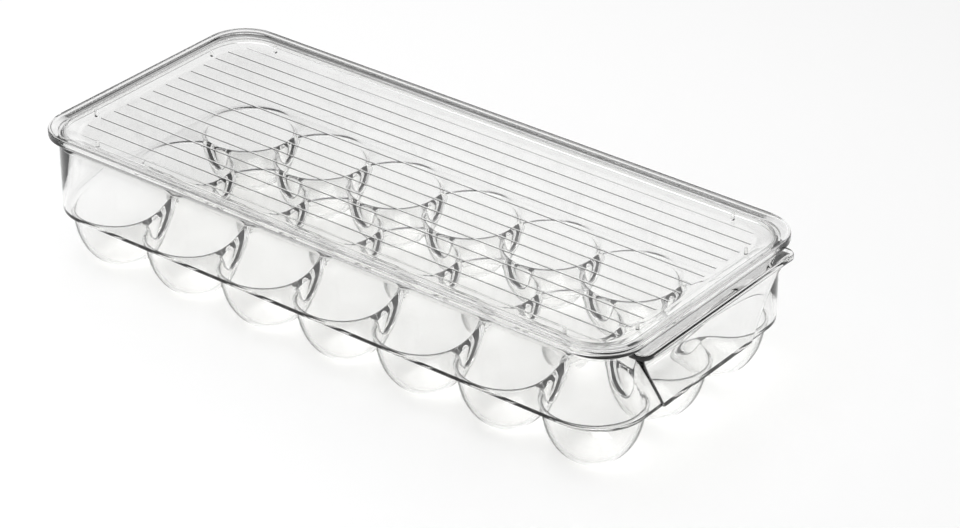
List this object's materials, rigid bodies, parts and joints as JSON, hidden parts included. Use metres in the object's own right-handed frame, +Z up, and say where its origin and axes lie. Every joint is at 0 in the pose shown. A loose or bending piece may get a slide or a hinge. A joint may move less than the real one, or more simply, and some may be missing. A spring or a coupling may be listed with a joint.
{
  "type": "covered egg holder",
  "caption": "Clear covered egg holder: a moulded tray with rows of round cups, low walls and a handle lip at one end, under a lift-off lid with a sunken ribbed panel.",
  "frame": {"origin": "on the floor plane under the middle of the whole outline, handle lip included", "axes": "+Z up; Y along the length with the handle lip at -Y; X across the width"},
  "size_m": [0.159, 0.37, 0.076],
  "materials": {
    "tray_plastic": "clear glossy acrylic",
    "lid_plastic": "clear glossy acrylic"
  },
  "bodies": {
    "tray": {"tray": "tray_plastic"},
    "lid": {"lid": "lid_plastic"}
  },
  "joints": [
    {"name": "lid_lift", "type": "slide", "parent": "tray", "child": "lid", "axis": [0, 0, 1], "range_m": [0, 0.1]}
  ]
}
